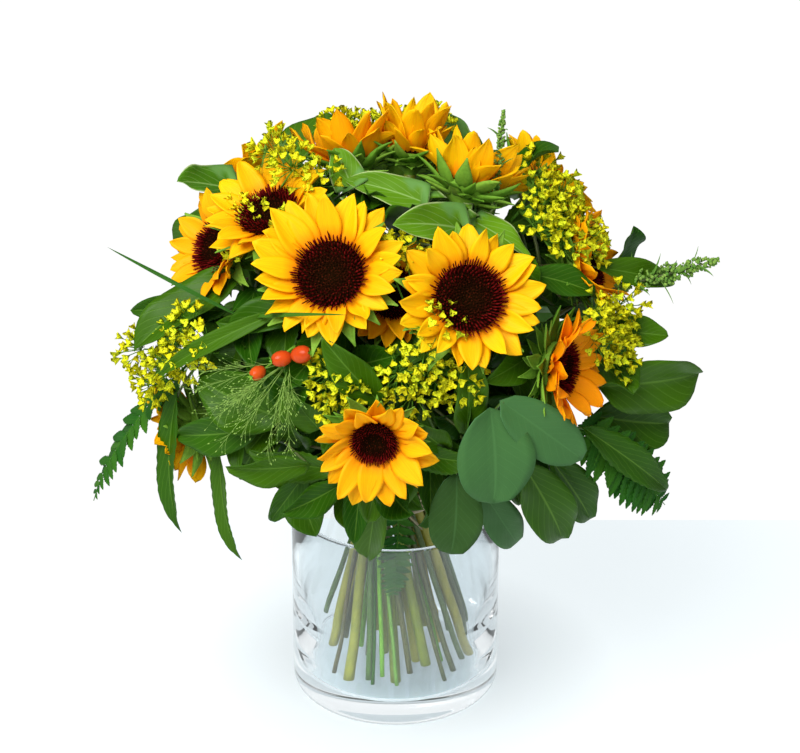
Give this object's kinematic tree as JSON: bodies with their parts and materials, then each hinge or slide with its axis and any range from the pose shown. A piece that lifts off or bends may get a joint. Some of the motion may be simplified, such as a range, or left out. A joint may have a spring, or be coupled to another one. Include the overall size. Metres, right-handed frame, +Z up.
{
  "type": "sunflower bouquet in a glass vase",
  "caption": "Hand-tied round bouquet of sunflowers and mixed greenery, standing in a clear cylindrical glass vase.",
  "frame": {"origin": "centre of the vase's underside, on the surface that it stands on", "axes": "+Z up along the vase's axis, -Y towards the front of the bouquet, +X to its right as seen from the front"},
  "size_m": [0.432, 0.3506, 0.4662],
  "materials": {
    "glass": "polished",
    "raffia": "matte",
    "petal": "satin",
    "disc": "matte",
    "sunflower_stem": "satin",
    "salal_leaf": "satin",
    "eucalyptus_leaf": "matte",
    "fern_frond": "matte",
    "statice_flower": "matte",
    "amaranth_spike": "matte",
    "grass": "matte",
    "rosehip": "gloss"
  },
  "bodies": {
    "root": {"vase": "glass", "raffia_tie": "raffia", "sunflower_1_stem": "sunflower_stem", "sunflower_1_bloom": "petal", "sunflower_2_stem": "sunflower_stem", "sunflower_2_bloom": "petal", "sunflower_3_stem": "sunflower_stem", "sunflower_3_bloom": "petal", "sunflower_4_stem": "sunflower_stem", "sunflower_4_bloom": "petal", "sunflower_5_stem": "sunflower_stem", "sunflower_5_bloom": "petal", "sunflower_6_stem": "sunflower_stem", "sunflower_6_bloom": "petal", "sunflower_7_stem": "sunflower_stem", "sunflower_7_bloom": "petal", "sunflower_8_stem": "sunflower_stem", "sunflower_8_bloom": "petal", "sunflower_9_stem": "sunflower_stem", "sunflower_9_bloom": "petal", "sunflower_10_stem": "sunflower_stem", "sunflower_10_bloom": "petal", "sunflower_11_stem": "sunflower_stem", "sunflower_11_bloom": "petal", "sunflower_12_stem": "sunflower_stem", "sunflower_12_bloom": "petal", "sunflower_13_stem": "sunflower_stem", "sunflower_13_bloom": "petal", "sunflower_14_stem": "sunflower_stem", "sunflower_14_bloom": "petal", "sunflower_15_stem": "sunflower_stem", "sunflower_15_bloom": "petal", "salal_top": "salal_leaf", "salal_top_left": "salal_leaf", "salal_left": "salal_leaf", "salal_left_low": "salal_leaf", "salal_front": "salal_leaf", "salal_centre": "salal_leaf", "salal_right_top": "salal_leaf", "salal_right": "salal_leaf", "salal_back_left": "salal_leaf", "salal_back_right": "salal_leaf", "eucalyptus_front": "eucalyptus_leaf", "eucalyptus_right": "eucalyptus_leaf", "eucalyptus_back": "eucalyptus_leaf", "fern_left": "fern_frond", "fern_right": "fern_frond", "fern_front": "fern_frond", "statice_front": "statice_flower", "statice_left": "statice_flower", "statice_top_left": "statice_flower", "statice_top_right": "statice_flower", "statice_right": "statice_flower", "statice_back": "statice_flower", "amaranth_top": "amaranth_spike", "amaranth_right": "amaranth_spike", "panicum": "grass", "bear_grass": "grass", "rosehips": "rosehip"}
  },
  "joints": []
}
